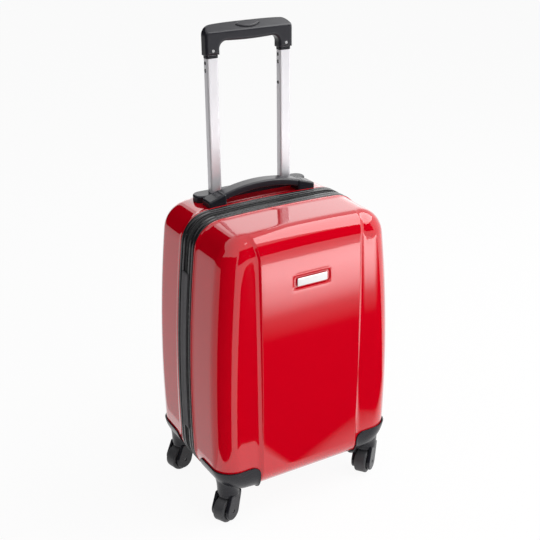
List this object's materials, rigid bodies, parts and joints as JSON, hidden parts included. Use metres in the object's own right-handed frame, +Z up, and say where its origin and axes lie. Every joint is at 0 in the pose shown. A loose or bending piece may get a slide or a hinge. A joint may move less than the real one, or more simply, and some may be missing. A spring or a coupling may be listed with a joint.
{
  "type": "hard shell suitcase",
  "caption": "Cabin suitcase with two glossy hard shells, zip band, telescopic pull handle with push button, carry handle and four swivel casters.",
  "frame": {"origin": "on the floor under the middle of the case, where the two halves part", "axes": "+Z up, +X to the right seen from the front, the front faces -Y"},
  "size_m": [0.3718, 0.268, 0.8433],
  "materials": {
    "red_shell": "polished polycarbonate, deep red",
    "black_plastic": "fine-grained black plastic",
    "trim": "dark grey band",
    "zip": "black zip tape and chain",
    "hinge_fabric": "grey woven tape",
    "lining": "black woven lining",
    "strap": "black webbing",
    "tube": "satin anodised",
    "plate": "bright brushed plate",
    "steel": "plain steel",
    "tyre": "dark grey tread",
    "zip_metal": "black enamelled"
  },
  "bodies": {
    "case": {"rear_shell": "red_shell", "rear_trim": "trim", "rear_zip_half": "zip", "rear_hinge_tape": "hinge_fabric", "rear_lining": "lining", "handle_cover": "black_plastic", "packing_straps": "strap", "strap_buckle": "black_plastic", "handle_bezel": "black_plastic", "outer_tube_left": "tube", "outer_tube_right": "tube", "tube_base": "black_plastic", "carry_handle": "black_plastic", "carry_cap_left": "black_plastic", "carry_cap_right": "black_plastic", "corner_guard_rear_left": "black_plastic", "corner_guard_rear_right": "black_plastic", "caster_pin_rear_left": "steel", "caster_pin_rear_right": "steel"},
    "lid": {"front_shell": "red_shell", "name_plate": "plate", "front_trim": "trim", "front_zip_half": "zip", "front_hinge_tape": "hinge_fabric", "front_lining": "lining", "corner_guard_front_left": "black_plastic", "corner_guard_front_right": "black_plastic", "caster_pin_front_left": "steel", "caster_pin_front_right": "steel"},
    "middle_stage": {"middle_tube_left": "tube", "middle_tube_right": "tube", "tube_collar_left": "black_plastic", "tube_collar_right": "black_plastic"},
    "inner_stage": {"inner_tube_left": "tube", "inner_tube_right": "tube", "pull_grip": "black_plastic", "grip_screws": "steel", "button_springs": "steel"},
    "button": {"push_button": "black_plastic", "push_rod_left": "steel", "push_rod_right": "steel"},
    "lock_left": {"lock_pin_left": "steel"},
    "lock_right": {"lock_pin_right": "steel"},
    "fork_front_left": {"caster_fork_front_left": "black_plastic", "caster_axle_front_left": "steel"},
    "wheel_front_left": {"caster_wheel_front_left": "tyre"},
    "fork_front_right": {"caster_fork_front_right": "black_plastic", "caster_axle_front_right": "steel"},
    "wheel_front_right": {"caster_wheel_front_right": "tyre"},
    "fork_rear_left": {"caster_fork_rear_left": "black_plastic", "caster_axle_rear_left": "steel"},
    "wheel_rear_left": {"caster_wheel_rear_left": "tyre"},
    "fork_rear_right": {"caster_fork_rear_right": "black_plastic", "caster_axle_rear_right": "steel"},
    "wheel_rear_right": {"caster_wheel_rear_right": "tyre"},
    "slider_upper": {"zip_slider_upper": "zip_metal"},
    "pull_upper": {"zip_pull_upper": "zip_metal"},
    "slider_lower": {"zip_slider_lower": "zip_metal"},
    "pull_lower": {"zip_pull_lower": "zip_metal"}
  },
  "joints": [
    {"name": "lid_hinge", "type": "hinge", "parent": "case", "child": "lid", "pos_m": [-0.1838, 0, 0.3], "axis": [0, 0, -1], "range_deg": [0, 180]},
    {"name": "middle_slide", "type": "slide", "parent": "case", "child": "middle_stage", "axis": [0, 0, 1], "range_m": [-0.2335, 0]},
    {"name": "inner_slide", "type": "slide", "parent": "middle_stage", "child": "inner_stage", "axis": [0, 0, 1], "range_m": [0, 0.2]},
    {"name": "button_press", "type": "slide", "parent": "inner_stage", "child": "button", "axis": [0, 0, -1], "range_m": [0, 0.004], "stiffness_N_per_m": 900, "springref_m": -0.004, "deforming": ["button_springs"]},
    {"name": "lock_left_draw", "type": "slide", "parent": "inner_stage", "child": "lock_left", "axis": [1, 0, 0], "range_m": [0, 0.0015]},
    {"name": "lock_right_draw", "type": "slide", "parent": "inner_stage", "child": "lock_right", "axis": [1, 0, 0], "range_m": [0, 0.0015]},
    {"name": "swivel_front_left", "type": "hinge", "parent": "lid", "child": "fork_front_left", "pos_m": [-0.149, -0.094, 0.05], "axis": [0, 0, 1], "continuous": true},
    {"name": "roll_front_left", "type": "hinge", "parent": "fork_front_left", "child": "wheel_front_left", "pos_m": [-0.1588, -0.09899, 0.024], "axis": [0.454, -0.891, 0], "continuous": true},
    {"name": "swivel_front_right", "type": "hinge", "parent": "lid", "child": "fork_front_right", "pos_m": [0.149, -0.094, 0.05], "axis": [0, 0, 1], "continuous": true},
    {"name": "roll_front_right", "type": "hinge", "parent": "fork_front_right", "child": "wheel_front_right", "pos_m": [0.1401, -0.10047, 0.024], "axis": [0.5878, -0.809, 0], "continuous": true},
    {"name": "swivel_rear_left", "type": "hinge", "parent": "case", "child": "fork_rear_left", "pos_m": [-0.149, 0.094, 0.05], "axis": [0, 0, 1], "continuous": true},
    {"name": "roll_rear_left", "type": "hinge", "parent": "fork_rear_left", "child": "wheel_rear_left", "pos_m": [-0.15962, 0.09115, 0.024], "axis": [0.2588, -0.9659, 0], "continuous": true},
    {"name": "swivel_rear_right", "type": "hinge", "parent": "case", "child": "fork_rear_right", "pos_m": [0.149, 0.094, 0.05], "axis": [0, 0, 1], "continuous": true},
    {"name": "roll_rear_right", "type": "hinge", "parent": "fork_rear_right", "child": "wheel_rear_right", "pos_m": [0.13887, 0.0897, 0.024], "axis": [0.3907, -0.9205, 0], "continuous": true},
    {"name": "zip_run_upper", "type": "hinge", "parent": "case", "child": "slider_upper", "pos_m": [-2.344, 0, 0.2], "axis": [0, -1, 0], "range_deg": [0, 3]},
    {"name": "pull_swing_upper", "type": "hinge", "parent": "slider_upper", "child": "pull_upper", "pos_m": [0.18275, 0, 0.33], "axis": [0, -1, 0], "range_deg": [0, 150]},
    {"name": "zip_run_lower", "type": "hinge", "parent": "case", "child": "slider_lower", "pos_m": [-2.344, 0, 0.2], "axis": [0, 1, 0], "range_deg": [0, 3]},
    {"name": "pull_swing_lower", "type": "hinge", "parent": "slider_lower", "child": "pull_lower", "pos_m": [0.1847, 0, 0.284], "axis": [0, -1, 0], "range_deg": [0, 150]}
  ],
  "couplings": [
    {"joint": "lock_left_draw", "follows": "button_press", "ratio": 0.375},
    {"joint": "lock_right_draw", "follows": "button_press", "ratio": 0.375}
  ]
}
